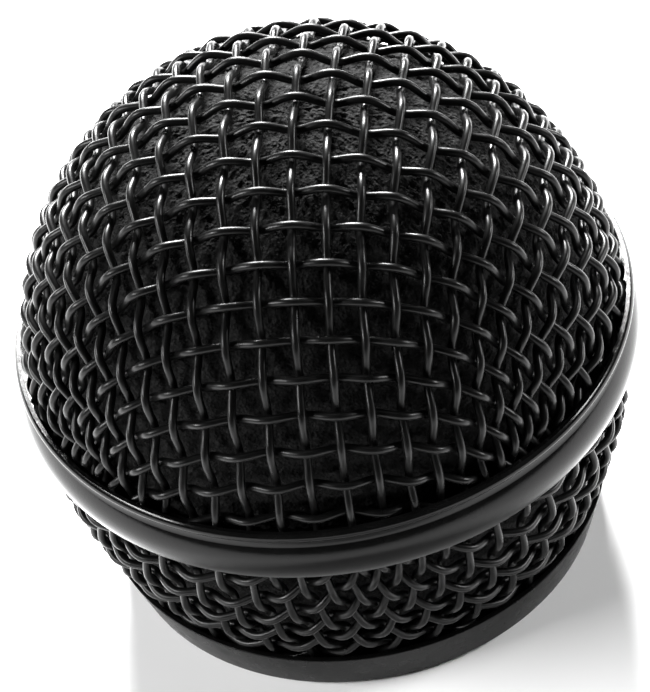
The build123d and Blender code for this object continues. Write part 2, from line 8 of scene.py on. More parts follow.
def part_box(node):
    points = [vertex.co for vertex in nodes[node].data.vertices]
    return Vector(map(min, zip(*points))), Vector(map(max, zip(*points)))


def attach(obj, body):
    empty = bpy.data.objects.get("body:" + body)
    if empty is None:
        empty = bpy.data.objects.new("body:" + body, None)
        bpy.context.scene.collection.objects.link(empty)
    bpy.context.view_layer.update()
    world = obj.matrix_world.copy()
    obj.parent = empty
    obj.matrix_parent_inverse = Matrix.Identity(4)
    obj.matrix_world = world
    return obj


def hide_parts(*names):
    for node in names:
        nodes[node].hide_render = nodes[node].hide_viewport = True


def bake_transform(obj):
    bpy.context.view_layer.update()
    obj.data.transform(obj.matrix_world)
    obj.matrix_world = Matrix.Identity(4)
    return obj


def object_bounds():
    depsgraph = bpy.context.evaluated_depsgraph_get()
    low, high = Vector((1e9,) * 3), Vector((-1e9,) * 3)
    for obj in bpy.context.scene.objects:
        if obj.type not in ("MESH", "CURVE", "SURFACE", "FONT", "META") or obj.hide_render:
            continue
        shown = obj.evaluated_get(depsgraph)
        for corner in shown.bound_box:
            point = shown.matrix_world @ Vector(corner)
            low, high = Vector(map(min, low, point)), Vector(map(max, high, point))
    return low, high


# Ball-grille head of a hand-held microphone, in metres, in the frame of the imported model.
# The grille's wire cloth, its band and collar, the foam, the threaded base, the rubber mount, the
# film, the coil, the leads, the cloths and the felt are made here. The other pieces are the packed
# ones, with a finish.
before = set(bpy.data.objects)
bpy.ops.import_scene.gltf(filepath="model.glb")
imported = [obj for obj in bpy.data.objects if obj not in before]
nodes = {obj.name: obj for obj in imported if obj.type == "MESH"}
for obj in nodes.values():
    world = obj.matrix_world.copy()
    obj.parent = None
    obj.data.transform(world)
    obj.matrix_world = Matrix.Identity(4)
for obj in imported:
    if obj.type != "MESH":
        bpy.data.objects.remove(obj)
cad_low, cad_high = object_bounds()
MM = 0.001
TINY = 1e-9
FIT = 0.03 * MM  # gap between a made piece and what it seats on

# ---------------------------------------------------------------- camera
CAMERA_DISTANCE = 400 * MM
CAMERA_ELEVATION = radians(43.85)
CAMERA_ROLL = radians(11.18)
CAMERA_LENS = 256.6
SENSOR_WIDTH = 36.0
NEAREST, FARTHEST = 0.01, 20.0
AIM_BELOW_BAND = 2.03 * MM
AIM_BESIDE_BAND = 0.06 * MM
BALL_CENTRE = Vector((0, 0, 22.0 * MM))


def make_camera():
    back = Vector((0, -cos(CAMERA_ELEVATION), sin(CAMERA_ELEVATION)))
    level = Vector((1, 0, 0))
    rise = back.cross(level)
    right = level * cos(CAMERA_ROLL) - rise * sin(CAMERA_ROLL)
    up = level * sin(CAMERA_ROLL) + rise * cos(CAMERA_ROLL)
    data = bpy.data.cameras.new("camera")
    data.lens = CAMERA_LENS
    data.sensor_width = SENSOR_WIDTH
    data.clip_start = NEAREST
    data.clip_end = FARTHEST
    camera = bpy.data.objects.new("camera", data)
    bpy.context.scene.collection.objects.link(camera)
    aim = BALL_CENTRE - up * AIM_BELOW_BAND + right * AIM_BESIDE_BAND
    axes = Matrix((right, up, back)).transposed()
    camera.matrix_world = Matrix.Translation(aim + back * CAMERA_DISTANCE) @ axes.to_4x4()
    bpy.context.scene.camera = camera


make_camera()


# ---------------------------------------------------------------- mesh tools
VOLUME_SAMPLE = 4000  # faces that are enough to tell the inside from the outside
TUBE_SHARP = radians(70)
EASED_SHARE = 0.45  # most of a side that one rounded corner takes


def signed_volume(points, faces):
    total = 0.0
    for face in faces:
        a = points[face[0]]
        for b, c in zip(face[1:-1], face[2:]):
            total += float(np.dot(a, np.cross(points[b], points[c])))
    return total


def new_piece(name, points, faces, sharp=None):
    """Object from points and faces. With a sharp angle, its faces are also turned outwards, and
    it is smooth except at edges sharper than that."""
    points = np.asarray(points, float)
    sample = faces if len(faces) < VOLUME_SAMPLE else faces[:: len(faces) // VOLUME_SAMPLE]
    if sharp is not None and signed_volume(points, sample) < 0:
        faces = [tuple(reversed(face)) for face in faces]
    mesh = bpy.data.meshes.new(name)
    mesh.from_pydata(points.tolist(), [], faces)
    mesh.validate()
    mesh.shade_smooth()
    if sharp is not None:
        mesh.set_sharp_from_angle(angle=sharp)
    piece = bpy.data.objects.new(name, mesh)
    bpy.context.scene.collection.objects.link(piece)
    return piece


def grid_faces(rows, columns, first=0, wrap_rows=False):
    """Quads of a grid that is closed along its columns, and along its rows if asked."""
    faces = []
    for row in range(rows if wrap_rows else rows - 1):
        here = first + row * columns
        after = first + (row + 1) % rows * columns
        for column in range(columns):
            beside = (column + 1) % columns
            faces.append((here + column, here + beside, after + beside, after + column))
    return faces


def lathe(name, outline, segments, sharp, shift=None):
    """Body of revolution from a closed outline, or from one that starts and ends on the axis.
    shift(index, radii, heights, turns) gives the radii and heights of a ring where they vary."""
    outline = np.array(outline, float)
    on_axis = outline[0][0] < TINY
    body = outline[1:-1] if on_axis else outline
    turns = np.arange(segments) * tau / segments
    points = []
    for index, (radius, height) in enumerate(body):
        radii, heights = np.full(segments, radius), np.full(segments, height)
        if shift is not None:
            radii, heights = shift(index, radii, heights, turns)
        points.append(np.stack([radii * np.cos(turns), radii * np.sin(turns), heights], 1))
    points = np.concatenate(points)
    faces = grid_faces(len(body), segments, wrap_rows=not on_axis)
    if on_axis:
        first, last = len(points), len(points) + 1
        points = np.vstack([points, (0, 0, outline[0][1]), (0, 0, outline[-1][1])])
        end = (len(body) - 1) * segments
        for column in range(segments):
            beside = (column + 1) % segments
            faces.append((first, beside, column))
            faces.append((last, end + column, end + beside))
    return new_piece(name, points, faces, sharp)


def eased(outline, size, steps=4):
    """Closed outline with every corner rounded over the given distance, or less on a short side."""
    points = [np.array(point, float) for point in outline]
    result = []
    for index, corner in enumerate(points):
        to_before = points[index - 1] - corner
        to_after = points[(index + 1) % len(points)] - corner
        before_length, after_length = np.linalg.norm(to_before), np.linalg.norm(to_after)
        reach = min(size, EASED_SHARE * before_length, EASED_SHARE * after_length)
        start = corner + to_before / before_length * reach
        end = corner + to_after / after_length * reach
        for step in range(steps + 1):
            t = step / steps
            result.append(start * (1 - t) ** 2 + corner * 2 * t * (1 - t) + end * t**2)
    return [tuple(point) for point in result]


def span(start, end, count):
    """Evenly spaced (radius, height) points from start to end, without the end."""
    steps = np.arange(count)[:, None] / count
    return [tuple(p) for p in np.array(start) * (1 - steps) + np.array(end) * steps]


def tubes(name, runs, radius, sides):
    """One piece made of round tubes. Each run is (centre points, surface normals)."""
    turns = np.arange(sides) * tau / sides
    points, faces, first = [], [], 0
    for centres, normals in runs:
        along = np.gradient(centres, axis=0)
        along /= np.linalg.norm(along, axis=1)[:, None]
        side = np.cross(along, normals)
        side /= np.linalg.norm(side, axis=1)[:, None]
        out = np.cross(side, along)
        rings = (
            centres[:, None, :]
            + radius * np.cos(turns)[None, :, None] * out[:, None, :]
            + radius * np.sin(turns)[None, :, None] * side[:, None, :]
        )
        count = len(centres)
        points.append(rings.reshape(-1, 3))
        faces += grid_faces(count, sides, first)
        faces.append(tuple(first + k for k in reversed(range(sides))))
        faces.append(tuple(first + (count - 1) * sides + k for k in range(sides)))
        first += count * sides
    piece = new_piece(name, np.concatenate(points), faces)
    piece.data.set_sharp_from_angle(angle=TUBE_SHARP)
    return piece


# ---------------------------------------------------------------- finishes
NOISE_LOW, NOISE_HIGH = 0.3, 0.7  # the range that most of a noise lies in


class Finish:
    """Principled material with a few procedural layers."""

    def __init__(self, name, **sockets):
        self.material = bpy.data.materials.new(name)
        self.material.use_nodes = True
        self.tree = self.material.node_tree
        self.shader = self.tree.nodes["Principled BSDF"]
        self.where = self.tree.nodes.new("ShaderNodeTexCoord").outputs["Object"]
        self.bumps = None
        for socket, value in sockets.items():
            self.shader.inputs[socket.replace("_", " ")].default_value = value

    def link(self, source, target):
        self.tree.links.new(source, target)

    def stretched(self, stretch):
        node = self.tree.nodes.new("ShaderNodeMapping")
        node.inputs["Scale"].default_value = stretch
        self.link(self.where, node.inputs["Vector"])
        return node.outputs["Vector"]

    def noise(self, size, detail=4.0, roughness=0.55, stretch=None, distortion=0.0):
        """Noise whose features are about size metres across."""
        node = self.tree.nodes.new("ShaderNodeTexNoise")
        node.inputs["Scale"].default_value = 1 / size
        node.inputs["Detail"].default_value = detail
        node.inputs["Roughness"].default_value = roughness
        node.inputs["Distortion"].default_value = distortion
        self.link(self.stretched(stretch) if stretch else self.where, node.inputs["Vector"])
        return node.outputs["Fac"]

    def cells(self, size):
        """Distance to the nearest point of a cloud of points size metres apart."""
        node = self.tree.nodes.new("ShaderNodeTexVoronoi")
        node.inputs["Scale"].default_value = 1 / size
        self.link(self.where, node.inputs["Vector"])
        return node.outputs["Distance"]

    def waves(self, pitch, kind="BANDS", direction="X", distortion=0.0):
        """Ripples pitch metres apart, in straight bands or in rings about an axis."""
        node = self.tree.nodes.new("ShaderNodeTexWave")
        node.wave_type = kind
        if kind == "BANDS":
            node.bands_direction = direction
        else:
            node.rings_direction = direction
        node.inputs["Scale"].default_value = pi / 10 / pitch
        node.inputs["Distortion"].default_value = distortion
        node.inputs["Detail"].default_value = 2.0
        node.inputs["Detail Scale"].default_value = 1.5
        self.link(self.where, node.inputs["Vector"])
        return node.outputs["Fac"]

    def combine(self, first, second, operation="MULTIPLY"):
        node = self.tree.nodes.new("ShaderNodeMath")
        node.operation = operation
        self.link(first, node.inputs[0])
        self.link(second, node.inputs[1])
        return node.outputs["Value"]

    def colour(self, source, *stops):
        """Base colour from source through (position, colour) stops."""
        node = self.tree.nodes.new("ShaderNodeValToRGB")
        ramp = node.color_ramp
        while len(ramp.elements) < len(stops):
            ramp.elements.new(0.5)
        for element, (position, rgb) in zip(ramp.elements, stops):
            element.position = position
            element.color = (*rgb, 1.0)
        self.link(source, node.inputs["Fac"])
        self.link(node.outputs["Color"], self.shader.inputs["Base Color"])

    def rough(self, source, low, high):
        """Roughness from low to high, following a noise."""
        node = self.tree.nodes.new("ShaderNodeMapRange")
        node.inputs["From Min"].default_value = NOISE_LOW
        node.inputs["From Max"].default_value = NOISE_HIGH
        node.inputs["To Min"].default_value = low
        node.inputs["To Max"].default_value = high
        self.link(source, node.inputs["Value"])
        self.link(node.outputs["Result"], self.shader.inputs["Roughness"])

    def bump(self, source, depth):
        """Relief of depth metres from source, over the layers before it."""
        node = self.tree.nodes.new("ShaderNodeBump")
        node.inputs["Distance"].default_value = depth
        node.inputs["Strength"].default_value = 1.0
        self.link(source, node.inputs["Height"])
        if self.bumps is not None:
            self.link(self.bumps, node.inputs["Normal"])
        self.bumps = node.outputs["Normal"]
        self.link(self.bumps, self.shader.inputs["Normal"])

    def put(self, *names):
        """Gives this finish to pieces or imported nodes."""
        for name in names:
            mesh = bpy.data.objects[name].data
            mesh.materials.clear()
            mesh.materials.append(self.material)


def grey(value):
    return (value, value, value)


def enamel(name, dark, light, peel, rough_low, rough_high, shine):
    """Baked black enamel, slightly uneven in tone and gloss, with a fine orange peel."""
    made = Finish(name, Specular_IOR_Level=shine)
    cloud = made.noise(3.2 * MM, detail=6.0)
    made.colour(cloud, (0.3, grey(dark)), (0.62, grey((dark + light) / 2)), (0.8, grey(light)))
    made.rough(made.noise(1.1 * MM, detail=5.0), rough_low, rough_high)
    made.bump(made.noise(0.35 * MM, detail=3.0), peel)
    made.bump(made.noise(0.08 * MM, detail=2.0), peel * 0.3)
    return made


def turned_metal(name, dark, light, rough_low, rough_high, groove=0.12 * MM, depth=0.0015 * MM):
    """Metal with the fine rings that a lathe leaves, and slight tarnish."""
    made = Finish(name, Metallic=1.0)
    stain = made.noise(2.5 * MM, detail=6.0)
    made.colour(stain, (0.3, dark), (0.7, light))
    made.rough(made.noise(0.6 * MM, detail=5.0), rough_low, rough_high)
    made.bump(made.waves(groove, "RINGS", "Z", distortion=0.3), depth)
    made.bump(made.noise(0.25 * MM, stretch=(1, 1, 6)), depth * 0.6)
    return made


def moulded(name, dark, light, rough_low, rough_high, grain=0.16 * MM, depth=0.006 * MM):
    """Moulded plastic with a spark-eroded grain."""
    made = Finish(name, Specular_IOR_Level=0.45)
    made.colour(made.noise(2.0 * MM, detail=5.0), (0.3, dark), (0.7, light))
    made.rough(made.noise(0.5 * MM, detail=4.0), rough_low, rough_high)
    made.bump(made.cells(grain), depth)
    made.bump(made.noise(1.6 * MM), depth * 1.5)
    return made


# ---------------------------------------------------------------- wire cloth of the ball
WIRE_RADIUS = 0.34 * MM
CRIMP = 0.39 * MM  # how far a wire's centre swings to each side of the cloth's middle
HEM_CRIMP = 0.30 * MM  # the same where the hem is pressed flat
HEM_FADE = 2.5 * MM
WARP_PITCH = 2.793 * MM
WARP_START = 3.899 * MM
WEFT_PITCH = 3.021 * MM
WEFT_START = 8.882 * MM
NET_TURN = 0.196  # turn of the cloth about the ball's axis, in radians
NET_RADIUS = 24.4 * MM  # ball radius that the flat cloth was drawn over
DRAW_TWIST = 0.963  # how far the cloth shears between its threads as it is drawn
BASKET_TWIST = 0.9
BASKET_TURN = pi / 4
STEPS_PER_PITCH = 10
WIRE_SIDES = 10
WIRE_WANDER = 0.05 * MM  # how far a wire strays sideways
WANDER_LENGTH = 7 * MM
CLOTH_MIDDLE = 0.66 * MM  # outside of the cloth to its middle, at the hem
PROFILE_POINTS = 400
LEVEL = 0.01 * MM  # points this near in height count as level
BULGE_WINDOW = 1.0 * MM

band_low, band_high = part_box("equator_band")
dome_low, dome_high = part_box("dome_mesh")
basket_low, basket_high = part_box("basket_mesh")
collar_low, collar_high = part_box("grille_collar")
dome_radius = dome_high.z - BALL_CENTRE.z


class Net:
    """Wire cloth drawn over a body of revolution.
    reach is the distance from the cloth's centre, and radius, height the place it is drawn to."""

    def __init__(self, reach, radius, height, outward, flat_radius, twist, turn):
        self.reach, self.radius, self.height = reach, radius, height
        across, rise = np.gradient(radius, reach), np.gradient(height, reach)
        length = np.hypot(across, rise)
        self.normal_radius = -outward * rise / length
        self.normal_height = outward * across / length
        self.flat_radius, self.twist, self.turn = flat_radius, twist, turn
        self.crimp = np.full(len(reach), CRIMP)

    def place(self, u, v, lift):
        """Points and normals of flat cloth points u, v, raised by lift."""
        reach = np.hypot(u, v)
        radius = np.interp(reach, self.reach, self.radius)
        height = np.interp(reach, self.reach, self.height)
        normal_radius = np.interp(reach, self.reach, self.normal_radius)
        normal_height = np.interp(reach, self.reach, self.normal_height)
        drawn = reach / np.maximum(np.interp(reach, self.reach, self.flat_radius), TINY)
        shear = -self.twist * (drawn - 1)
        azimuth = np.arctan2(v, u)
        azimuth = azimuth - shear * np.sin(4 * azimuth) / 4 + self.turn
        out = np.stack([np.cos(azimuth), -np.sin(azimuth), np.zeros_like(azimuth)], 1)
        normals = out * normal_radius[:, None]
        normals[:, 2] = normal_height
        points = out * radius[:, None]
        points[:, 2] = height
        return points + normals * lift[:, None], normals

    def wires(self, along_u, seed):
        """Centre lines of every wire of one family, each weaving over and under the other's."""
        pitch, start = (WEFT_PITCH, WEFT_START) if along_u else (WARP_PITCH, WARP_START)
        cross_pitch, cross_start = (WARP_PITCH, WARP_START) if along_u else (WEFT_PITCH, WEFT_START)
        inner, outer = self.reach[0], self.reach[-1]
        random = np.random.default_rng(seed)
        runs = []
        first, last = -ceil((outer + start) / pitch), ceil((outer - start) / pitch)
        for index in range(first, last + 1):
            wander = random.uniform(-WIRE_WANDER, WIRE_WANDER)
            offset = start + index * pitch
            if abs(offset) > outer - WIRE_RADIUS:
                continue
            far = (outer**2 - offset**2) ** 0.5
            near = (inner**2 - offset**2) ** 0.5 if abs(offset) < inner else 0.0
            stretches = [(near, far), (-far, -near)] if near > 0 else [(-far, far)]
            for low, high in stretches:
                count = max(4, ceil((high - low) / cross_pitch * STEPS_PER_PITCH))
                along = np.linspace(low, high, count)
                phase = (along - cross_start) / cross_pitch + index
                crimp = np.interp(np.hypot(along, offset), self.reach, self.crimp)
                lift = crimp * np.cos(pi * phase) * (1 if along_u else -1)
                lift += HEM_CRIMP - crimp
                across = np.full(count, offset) + wander * np.sin(along / WANDER_LENGTH + index)
                u, v = (along, across) if along_u else (across, along)
                runs.append(self.place(u, v, lift))
        return runs


def dome_net():
    straight = BALL_CENTRE.z - dome_low.z
    reach = np.linspace(0, NET_RADIUS * pi / 2 + straight, PROFILE_POINTS)
    angle = np.minimum(reach / NET_RADIUS, pi / 2)
    below = np.maximum(reach - NET_RADIUS * pi / 2, 0)
    ball = dome_radius - CLOTH_MIDDLE
    radius = ball * np.sin(angle)
    height = BALL_CENTRE.z + ball * np.cos(angle) - below
    flat_radius = NET_RADIUS * np.sin(angle)
    flat_radius[0] = reach[1] / 2
    net = Net(reach, radius, height, 1, flat_radius, DRAW_TWIST, NET_TURN)
    net.normal_radius[0], net.normal_height[0] = 0.0, 1.0
    fade = np.clip((reach[-1] - reach - straight) / HEM_FADE, 0, 1)
    net.crimp = HEM_CRIMP + (CRIMP - HEM_CRIMP) * fade
    return net


def basket_profile():
    """Outside of the basket, as radii and heights from its foot to its hem."""
    points = np.array([v.co for v in nodes["basket_mesh"].data.vertices])
    radii = np.hypot(points[:, 0], points[:, 1])
    foot = radii[points[:, 2] < basket_low.z + LEVEL].max()
    top = np.array((dome_radius, band_low.z))
    bottom = np.array((foot, basket_low.z))
    middle_height = (top[1] + bottom[1]) / 2
    near = np.abs(points[:, 2] - middle_height) < BULGE_WINDOW
    bulge_radius = radii[near].max()
    bow = np.polyfit((bottom[1], middle_height, top[1]), (bottom[0], bulge_radius, top[0]), 2)
    heights = np.linspace(basket_low.z, basket_high.z, PROFILE_POINTS)
    return np.minimum(np.polyval(bow, np.minimum(heights, top[1])), dome_radius), heights


def basket_net():
    radius, height = basket_profile()
    radius = radius - CLOTH_MIDDLE
    steps = np.hypot(np.diff(radius), np.diff(height))
    reach = radius[0] + np.concatenate([[0], np.cumsum(steps)])
    net = Net(reach, radius, height, -1, radius, BASKET_TWIST, BASKET_TURN)
    fade = np.clip(np.minimum(band_low.z - height, height - collar_high.z) / HEM_FADE, 0, 1)
    net.crimp = HEM_CRIMP + (CRIMP - HEM_CRIMP) * fade
    return net


def make_cloths():
    for ball_part, net in (("dome", dome_net()), ("basket", basket_net())):
        for family, along_u, seed in (("warp", False, 3), ("weft", True, 5)):
            name = f"{ball_part}_{family}"
            piece = tubes(name, net.wires(along_u, seed), WIRE_RADIUS, WIRE_SIDES)
            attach(piece, "grille")
            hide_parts(f"{ball_part}_mesh")


make_cloths()
wire_enamel = enamel(
    "wire enamel", dark=0.002, light=0.006, peel=0.010 * MM, rough_low=0.26, rough_high=0.38, shine=0.15
)
wire_enamel.put("dome_warp", "dome_weft", "basket_warp", "basket_weft")


# ---------------------------------------------------------------- band and collar
TURNED_SHARP = radians(40)
BAND_SEGMENTS = 384
BAND_ARC_POINTS = 25
LIP_HEIGHT = 1.0 * MM
GROOVE_HEIGHT = 0.5 * MM
LIP_INSET = 0.2 * MM  # each inset is measured from the band's widest radius
GROOVE_INSET = 0.55 * MM
FOOT_INSET = 0.35 * MM
LIP_CROWN = 0.25 * MM  # how far the lip bows out beyond its upper edge

COLLAR_SEGMENTS = 320
COLLAR_HEIGHT = 4.3 * MM
COLLAR_SEAT_HEIGHT = 2.4 * MM
COLLAR_TAPER = 1.3 * MM
COLLAR_BEVEL = 0.25 * MM
COLLAR_EASE = 0.14 * MM
COLLAR_BORE = 17.354 * MM  # these three are radii
COLLAR_SLEEVE = 17.954 * MM
COLLAR_STOP = 16.884 * MM
COLLAR_STOP_HEIGHT = 0.8 * MM


def make_band():
    """Pressed band: a narrow upper lip, a groove and a broad bead."""
    bore = dome_radius + FIT
    widest = band_high.x
    lip_radius, groove_radius, foot_radius = widest - LIP_INSET, widest - GROOVE_INSET, widest - FOOT_INSET
    lip_low = band_high.z - LIP_HEIGHT
    bead_high = lip_low - GROOVE_HEIGHT
    turns = np.linspace(-1, 1, BAND_ARC_POINTS)
    bead_middle, bead_half = (bead_high + band_low.z) / 2, (bead_high - band_low.z) / 2
    bead_base = (groove_radius + foot_radius) / 2
    bead_lean = (groove_radius - foot_radius) / 2
    bead = [
        (bead_base - t * bead_lean + (widest - bead_base) * (1 - t * t), bead_middle - t * bead_half)
        for t in turns
    ]
    lip_middle, lip_half = (band_high.z + lip_low) / 2, (band_high.z - lip_low) / 2
    lip_edge = lip_radius - LIP_CROWN
    lip = [
        (
            lip_edge + (groove_radius - lip_edge) * (1 + t) / 2
            + (lip_radius - (lip_edge + groove_radius) / 2) * (1 - t * t),
            lip_middle - t * lip_half,
        )
        for t in turns
    ]
    outline = [(bore, band_low.z), (bore, band_high.z), *lip, *bead]
    piece = lathe("pressed_band", outline, BAND_SEGMENTS, TURNED_SHARP)
    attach(piece, "grille")
    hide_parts("equator_band")


def make_collar():
    """Collar with its edges broken, so that they catch the light. Its bore is left plain."""
    radii, heights = basket_profile()
    top, seat = collar_low.z + COLLAR_HEIGHT, collar_low.z + COLLAR_SEAT_HEIGHT
    lip_heights = (seat, (seat + top) / 2, top)
    lip = [(float(np.interp(h, heights, radii)) + FIT, float(h)) for h in lip_heights]
    foot = collar_high.x - COLLAR_TAPER
    stop_low = collar_high.z - COLLAR_STOP_HEIGHT
    outline = [
        *lip,
        (collar_high.x, top),
        (foot, collar_low.z + COLLAR_BEVEL),
        (foot - COLLAR_BEVEL, collar_low.z),
        (COLLAR_BORE, collar_low.z),
        (COLLAR_BORE, stop_low),
        (COLLAR_STOP, stop_low),
        (COLLAR_STOP, collar_high.z),
        (COLLAR_SLEEVE, collar_high.z),
        (COLLAR_SLEEVE, seat),
    ]
    piece = lathe("turned_collar", eased(outline, COLLAR_EASE), COLLAR_SEGMENTS, TURNED_SHARP)
    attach(piece, "grille")
    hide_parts("grille_collar")


make_band()
make_collar()
band_enamel = enamel(
    "band enamel", dark=0.002, light=0.005, peel=0.005 * MM, rough_low=0.10, rough_high=0.18, shine=0.12
)
band_enamel.put("pressed_band", "band_inner_ring")
collar_enamel = enamel(
    "collar enamel", dark=0.002, light=0.004, peel=0.008 * MM, rough_low=0.24, rough_high=0.36, shine=0.12
)
collar_enamel.put("turned_collar")

# ---------------------------------------------------------------- foam
PORE_SIZE = 0.62 * MM
PORE_DEPTH = 0.26 * MM
PORE_WALL = 0.45  # share of a pore's size over which its side slopes
SWELL_SIZE = 5.0 * MM
SWELL_DEPTH = 0.18 * MM
FOAM_SEGMENTS = 480
FOAM_SHARP = radians(75)
DOME_FOAM_WALL = 2.5 * MM
DOME_FOAM_ROWS = 128
BASKET_FOAM_WALL = 1.5 * MM
BASKET_FOAM_ROWS = 56
BASKET_FOAM_GAP = 0.35 * MM  # packed cloth to foam
POLE_ANGLE = 0.004  # radius of the small flat at the top, as an angle


def pore_depth(x, y, z):
    """How far open-cell foam lies below its skin at a point."""
    near, second = noise.voronoi(Vector((x, y, z)) / PORE_SIZE)[0][:2]
    wall = min(1.0, max(0.0, (second - near) / PORE_WALL))
    swell = 0.5 + 0.5 * noise.noise(Vector((x, y, z)) / SWELL_SIZE)
    return PORE_DEPTH * wall + SWELL_DEPTH * swell


def foam_shell(name, outside, inside):
    """Foam between two profiles of (radius, height) points, its outside broken by real pores."""
    outline = list(outside) + list(inside)
    skin = len(outside)

    def sunk(index, radii, heights, turns):
        if index >= skin:
            return radii, heights
        depth = np.array(
            [pore_depth(r * cos(t), r * sin(t), h) for r, h, t in zip(radii, heights, turns)]
        )
        before, after = np.array(outline[max(index - 1, 0)]), np.array(outline[min(index + 1, skin - 1)])
        along = (after - before) / np.linalg.norm(after - before)
        return radii - depth * abs(along[1]), heights - depth * along[0] * (1 if along[1] < 0 else -1)

    piece = lathe(name, outline, FOAM_SEGMENTS, FOAM_SHARP, shift=sunk)
    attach(piece, "foam_liner")
    return piece


def make_foams():
    low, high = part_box("dome_foam")
    ball = high.z - BALL_CENTRE.z
    inner = ball - DOME_FOAM_WALL
    angles = np.linspace(POLE_ANGLE, pi / 2, DOME_FOAM_ROWS)
    outside = [(ball * sin(a), BALL_CENTRE.z + ball * cos(a)) for a in angles]
    inside = [(inner * sin(a), BALL_CENTRE.z + inner * cos(a)) for a in angles[::-8]]
    piece = foam_shell("foam_dome", [*outside, (ball, low.z)], [(inner, low.z), *inside])
    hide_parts("dome_foam")
    low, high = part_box("basket_foam")
    radii, heights = basket_profile()
    rows = np.linspace(high.z, low.z, BASKET_FOAM_ROWS)
    inset = 2 * CLOTH_MIDDLE + BASKET_FOAM_GAP
    outer = [(float(np.interp(h, heights, radii)) - inset, float(h)) for h in rows]
    piece = foam_shell("foam_basket", outer, [(r - BASKET_FOAM_WALL, h) for r, h in outer[::-5]])
    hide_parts("basket_foam")


make_foams()
foam = Finish("open foam", Specular_IOR_Level=0.12)
foam_grain = foam.noise(0.5 * MM, detail=8.0, roughness=0.7)
foam.colour(foam_grain, (0.34, grey(0.0015)), (0.54, grey(0.006)), (0.74, grey(0.022)))
foam.rough(foam.noise(0.3 * MM), 0.75, 1.0)
foam.bump(foam.cells(0.28 * MM), 0.14 * MM)
foam.bump(foam_grain, 0.08 * MM)
foam.put("foam_dome", "foam_basket")

# ---------------------------------------------------------------- threaded base
HANDLE_PITCH = 25.4 / 28 * MM
HANDLE_DEPTH = 0.5413 * HANDLE_PITCH
GRILLE_PITCH = 1.0 * MM
GRILLE_DEPTH = 0.45 * MM
THREAD_SLOPE, THREAD_FLAT, THREAD_FADE = 1.3, 0.12, 0.6  # V shape, crest and run-out, in pitches
BASE_SEGMENTS = 256
BASE_SHARP = radians(28)
BASE_EDGE = 0.12 * MM
SOCKET_RADIUS = 15.384 * MM
NECK_RADIUS = 16.584 * MM
NECK_WALL = 1.35 * MM
SHOULDER_WIDTH = 1.2 * MM
SHOULDER_HEIGHT = 0.8 * MM
GRILLE_THREAD_LENGTH = 4.4 * MM
SOCKET_DEPTH = 5.6 * MM
SOCKET_CHAMFER = 0.5 * MM
SOCKET_RUN_OUT = 0.3 * MM
GRILLE_THREAD_ROWS, SOCKET_THREAD_ROWS = 46, 56
SCREW_COUNT = 3
DRILL_SIDES = 32
DRILL_INSIDE, DRILL_OUTSIDE = 3 * MM, 2 * MM  # how far the drill reaches to each side of the neck


def thread_cut(heights, turns, pitch, low, high):
    """How deep a V thread is cut at a height and turn, from 0 to 1, faded at both ends."""
    phase = heights / pitch - turns / tau
    ramp = np.abs((phase % 1.0) - 0.5) * 2
    cut = np.clip(ramp * THREAD_SLOPE - THREAD_FLAT, 0, 1)
    fade = THREAD_FADE * pitch
    return cut * (np.clip((heights - low) / fade, 0, 1) * np.clip((high - heights) / fade, 0, 1))


def make_base():
    low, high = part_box("base_ring")
    thread_radius = high.x
    socket, neck, edge = SOCKET_RADIUS, NECK_RADIUS, BASE_EDGE
    seat, shoulder = neck - NECK_WALL, socket - SHOULDER_WIDTH
    thread_top = low.z + GRILLE_THREAD_LENGTH
    shoulder_low = low.z + SOCKET_DEPTH
    board_low = shoulder_low + SHOULDER_HEIGHT
    chamfer_top = low.z + SOCKET_CHAMFER
    outline = [
        (socket + SOCKET_CHAMFER, low.z),
        (thread_radius - edge, low.z),
        *span((thread_radius, low.z + edge), (thread_radius, thread_top - edge), GRILLE_THREAD_ROWS),
        (thread_radius, thread_top - edge),
        (thread_radius - edge, thread_top),
        (neck, thread_top),
        (neck, high.z - edge),
        (neck - edge, high.z),
        (seat + edge, high.z),
        (seat, high.z - edge),
        (seat, board_low),
        (shoulder, board_low),
        (shoulder, shoulder_low),
        *span((socket, shoulder_low), (socket, chamfer_top), SOCKET_THREAD_ROWS),
        (socket, chamfer_top),
    ]

    def threaded(index, radii, heights, turns):
        height = heights[0]
        if abs(radii[0] - thread_radius) < TINY:
            cut = thread_cut(heights, turns, GRILLE_PITCH, low.z + edge, thread_top - edge)
            return radii - GRILLE_DEPTH * cut, heights
        if abs(radii[0] - socket) < TINY and height < shoulder_low:
            ends = low.z + SOCKET_RUN_OUT, shoulder_low - SOCKET_RUN_OUT
            cut = thread_cut(heights, -turns, HANDLE_PITCH, *ends)
            return radii + HANDLE_DEPTH * cut, heights
        return radii, heights

    piece = lathe("threaded_base", outline, BASE_SEGMENTS, BASE_SHARP, shift=threaded)
    drill_screw_holes(piece)
    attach(piece, "base")
    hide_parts("base_ring")


